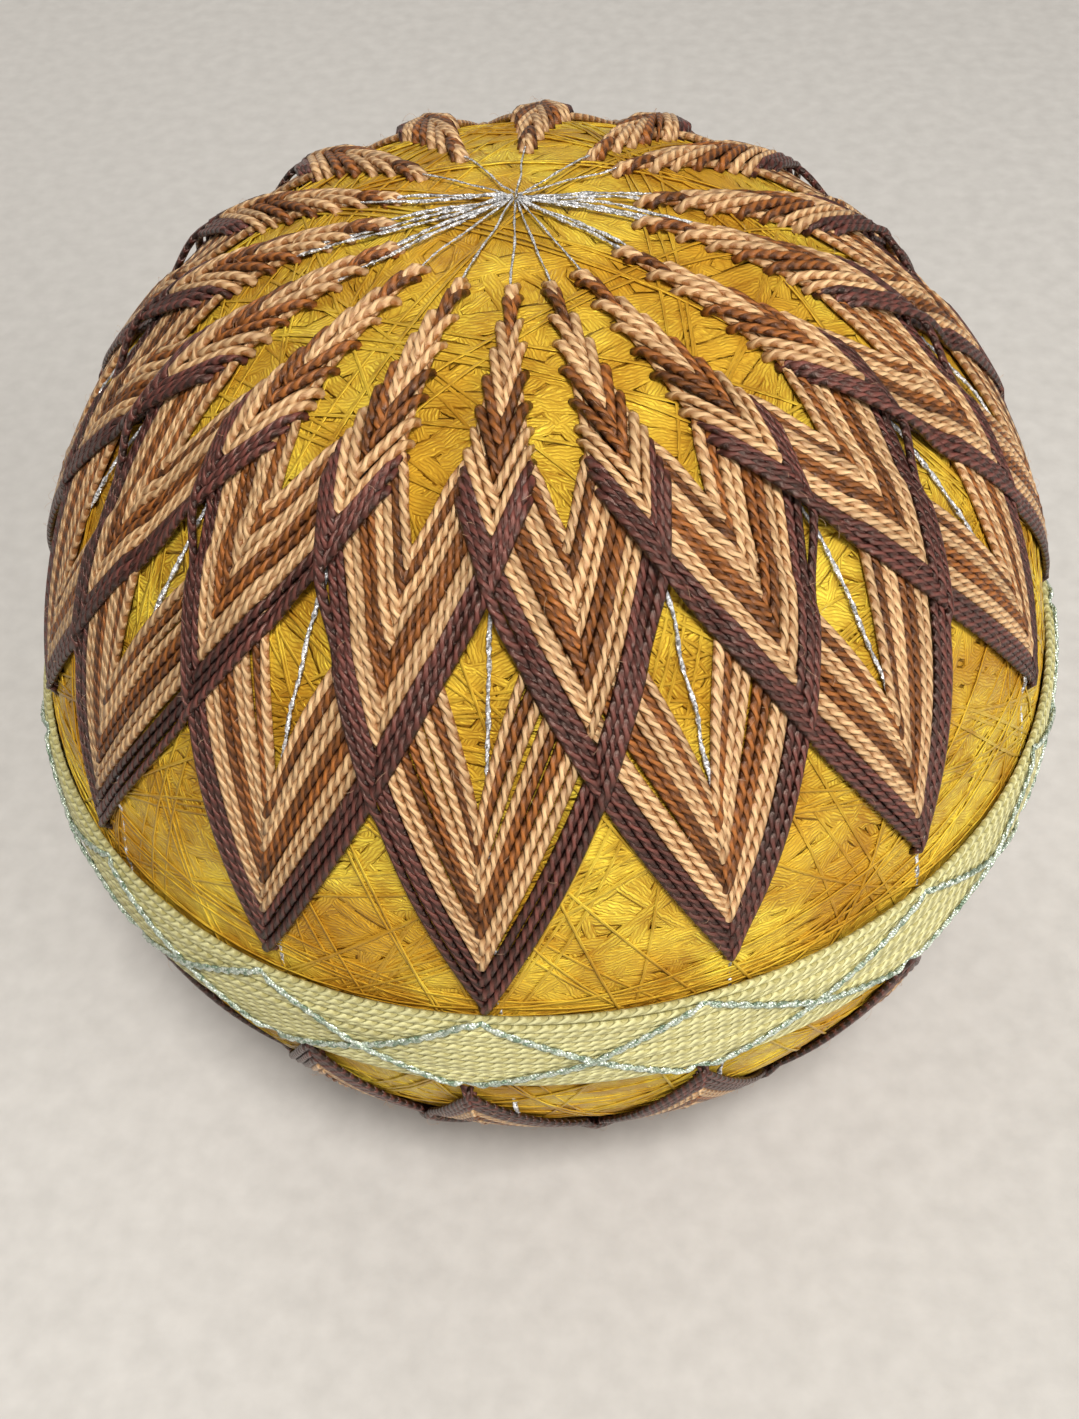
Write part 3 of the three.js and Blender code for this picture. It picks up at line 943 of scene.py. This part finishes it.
def zigzag(material):
    """Two metallic threads laid over the belt from edge to edge, half a wave apart."""
    random = np.random.RandomState(9)
    yarns = Yarns(6)
    steps = MERIDIANS * ZIGZAG_STEPS
    sectors = np.arange(steps) / ZIGZAG_STEPS
    for start in (0, 1):
        wave = 1 - 2 * np.abs((sectors + start) % 2 - 1)
        uneven = smooth(random.normal(size=steps), 9.0) * 0.5
        height = -ZIGZAG_REACH * wave
        at_edge = ease(1 - (1 - np.abs(wave)) * 6.0)
        height = height - 0.35 * np.sign(height) * at_edge + uneven * (1 - at_edge)
        swell = BELT_SWELL * (1 - (height / BELT_HALF_HEIGHT) ** 2)
        over = 0.16 * start * np.exp(-((wave * 4.0) ** 2))
        radius = ONE_LAYER + swell + ZIGZAG_HEIGHT + over - 0.35 * at_edge**2
        corners = [
            (LOWER_CORNERS if (k + start) % 2 else UPPER_CORNERS).get(k, 0.0)
            for k in range(MERIDIANS)
        ]
        stray = np.interp(sectors, range(MERIDIANS + 1), corners + corners[:1])
        turn = np.radians(sectors * SECTOR + stray)
        middle = np.stack([radius * np.sin(turn), -radius * np.cos(turn), height], 1)
        gone = distances(np.concatenate([middle, middle[:1]]))
        winds = round(gone[-1] / ZIGZAG_TWIST)
        ahead = unit(np.roll(middle, -1, 0) - np.roll(middle, 1, 0))
        outward = unit(middle * np.array([1, 1, 0]))
        across = np.cross(ahead, outward)
        for strand in (0, 1):
            wind = 2 * math.pi * (winds * gone[:-1] / gone[-1] + strand / 2)
            line = (
                middle
                + across * (0.8 * ZIGZAG_HALF_WIDTH * np.cos(wind))[:, None]
                + outward * (0.6 * ZIGZAG_HALF_HEIGHT * np.sin(wind))[:, None]
            )
            mark = random.uniform()
            yarns.add(line, ZIGZAG_HALF_WIDTH, ZIGZAG_HALF_HEIGHT, mark, closed=True)
    return yarns.build("belt_zigzag_threads", material)


def marking(material):
    """Silver threads from pole to pole along the meridians. More strands meet at the upper
    pole, where the threads start and end."""
    random = np.random.RandomState(21)
    yarns = Yarns(5)
    for k in range(MERIDIANS):
        for strand in range(POLE_STRANDS.get(k, 1)):
            reach = 179.6 if strand == 0 else 15.0 + 4.0 * strand
            count = int(reach * 2)
            colatitude = np.linspace(0.3, reach, count)
            lean = STRAY[k]["top"] * np.minimum(column_lean(colatitude), 1)
            spread = strand * 0.5 * ease(colatitude / 9)
            sway = smooth(random.normal(size=count), 2.5) * 0.16
            width = SKIN_RADIUS * np.sin(np.radians(np.clip(colatitude, 3, 177)))
            azimuth = k * SECTOR + lean + np.degrees((spread + sway) / width)
            lift = 0.35 * np.exp(-((colatitude / 2.5) ** 2)) * random.uniform(0.2, 1.0)
            radius = MARKING_RADIUS + lift + 0.15 * smooth(random.normal(size=count), 3.0)
            under = ease((15 - np.abs(colatitude - 90)) / 2)
            radius = radius - MARKING_UNDER_BELT * under
            line = direction(colatitude, azimuth).T * radius[:, None]
            line = evenly(line, MARKING_STEP)
            knobs = 1 + 0.42 * random.uniform(-1, 1, len(line))
            away = ease((np.linspace(0, reach, len(line)) - 14) / 10)
            thickness = 0.5 if k not in POLE_STRANDS else 0.8
            half = MARKING_HALF_THREAD * knobs * blend(thickness, 1.0, away)
            yarns.add(line, half, half * 0.8, random.uniform())
    return yarns.build("marking_threads", material)


# Light, floor and camera

CAMERA_PLACE = Vector((11.503, -94.943, 136.384)) * MM
CAMERA_TARGET = Vector((-0.285, -5.391, 34.281)) * MM
CAMERA_ROLL = math.radians(4.42)
CAMERA_LENS = 42.74
FLOOR_HALF_SIDE = 1.5

# The lights: place, size, power and colour
KEY_LIGHT = ((0.07, -0.25, 0.54), 0.12, 2.85, (1.0, 0.97, 0.92))
FILL_LIGHT = ((0.5, -0.38, 0.3), 0.5, 2.5, (1.0, 0.98, 0.95))
BACK_LIGHT = ((-0.25, 0.4, 0.4), 0.3, 0.6, (1.0, 0.96, 0.9))
SKY_COLOUR = (1.0, 0.97, 0.93, 1)
SKY_STRENGTH = 0.25


def camera():
    data = bpy.data.cameras.new("camera")
    data.lens = CAMERA_LENS
    data.sensor_width = 36
    data.clip_start = 0.005
    made = bpy.data.objects.new("camera", data)
    forward = (CAMERA_TARGET - CAMERA_PLACE).normalized()
    level_up = (Vector((0, 0, 1)) - forward * forward.z).normalized()
    level_right = forward.cross(level_up)
    up = level_up * math.cos(CAMERA_ROLL) + level_right * math.sin(CAMERA_ROLL)
    right = forward.cross(up)
    turn = Matrix((right, up, -forward)).transposed()
    made.matrix_world = Matrix.Translation(CAMERA_PLACE) @ turn.to_4x4()
    bpy.context.scene.collection.objects.link(made)
    bpy.context.scene.camera = made


def floor():
    m = Recipe("pale_floor")
    grain = m.noise(m.place(), 0.4, 4.0)
    colour = m.mix(m.span(grain, 0.3, 0.7), linear(196, 193, 189), linear(206, 203, 199))
    material = m.finish(colour, m.span(grain, 0.2, 0.8, 0.6, 0.75), m.bump(grain, 0.05))
    mesh = bpy.data.meshes.new("floor")
    half = FLOOR_HALF_SIDE
    mesh.from_pydata(
        [(-half, -half, 0), (half, -half, 0), (half, half, 0), (-half, half, 0)],
        [],
        [(0, 1, 2, 3)],
    )
    mesh.materials.append(material)
    made = bpy.data.objects.new("floor", mesh)
    bpy.context.scene.collection.objects.link(made)


def area_light(name, place, size, power, colour):
    data = bpy.data.lights.new(name, "AREA")
    data.shape = "DISK"
    data.size = size
    data.energy = power
    data.color = colour
    made = bpy.data.objects.new(name, data)
    made.location = place
    aim = Vector((0, 0, CENTRE_HEIGHT * MM)) - Vector(place)
    made.rotation_mode = "QUATERNION"
    made.rotation_quaternion = aim.to_track_quat("-Z", "Y")
    bpy.context.scene.collection.objects.link(made)


def lights():
    area_light("key", *KEY_LIGHT)
    area_light("fill", *FILL_LIGHT)
    area_light("back", *BACK_LIGHT)
    world = bpy.data.worlds.new("studio")
    world.use_nodes = True
    sky = world.node_tree.nodes["Background"]
    sky.inputs["Color"].default_value = SKY_COLOUR
    sky.inputs["Strength"].default_value = SKY_STRENGTH
    bpy.context.scene.world = world
    bpy.context.scene.view_settings.view_transform = "Standard"


camera()
floor()
lights()

# The second colour of each cotton is the painted shade colour of its grooves and sides.
tan = cotton_material(
    "tan_cotton", linear(226, 189, 141), linear(142, 91, 48), 0.31, 0.55, 0.1, 0.16
)
brown = cotton_material(
    "brown_cotton", linear(152, 91, 40), linear(44, 19, 6), 0.34, 0.5, 0.2, 0.4
)
plum = cotton_material(
    "plum_cotton", linear(102, 56, 49), linear(12, 4, 3), 0.3, 0.65, 0.2, 0.4
)
pale = cotton_material(
    "pale_cotton", linear(230, 226, 172), linear(170, 162, 104), 0.42, 0.4, 0.1, 0.12
)
# The third gold colour is the painted shade colour of the valleys between threads and of bundle
# edges.
gold_colours = (linear(242, 218, 80), linear(210, 163, 50), linear(148, 98, 24))
bundle_gold = golden_material("golden_bundles", *gold_colours, lanes=True)
single_gold = golden_material("golden_singles", *gold_colours, lanes=False)
silver = metal_material(
    "silver_thread", linear(250, 250, 252), linear(150, 150, 150), 0.19, 2.0, 0.3
)
mint = metal_material(
    "mint_thread", linear(226, 236, 222), linear(116, 138, 116), 0.3, 1.8, 0.4
)
fluff = Recipe("loose_fibre")
fluff_tone = fluff.noise(fluff.place(), 1.5)
fibre_material = fluff.finish(
    fluff.mix(fluff_tone, linear(170, 120, 84), linear(226, 196, 164)),
    fluff.span(fluff_tone, 0.2, 0.8, 0.45, 0.65),
    fluff.bump(fluff_tone, 0.01),
)

cottons = {"tan": tan, "brown": brown, "plum": plum}
north_lines = kiku_lines(False, 1)
south_lines = kiku_lines(True, 2)
core = wound_core(bundle_gold)
pieces = [(core, "wound_ball", "golden_thread")]
for piece in winding(bundle_gold, single_gold):
    pieces.append((piece, "wound_ball", "golden_thread"))
for piece in kiku("kiku_north", north_lines, cottons, 3):
    pieces.append((piece, "kiku_north", "brown_thread"))
for piece in kiku("kiku_south", south_lines, cottons, 4):
    pieces.append((piece, "kiku_south", "brown_thread"))
fibres = loose_fibres(north_lines + south_lines, fibre_material)
pieces.append((fibres, "kiku_north", "brown_thread"))
pieces.append((belt(pale), "belt", "pale_thread"))
pieces.append((zigzag(mint), "belt_zigzag", "mint_metallic_thread"))
pieces.append((marking(silver), "marking_star_north", "silver_thread"))
for piece, node, slot_name in pieces:
    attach(piece, "root")
    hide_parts(node)
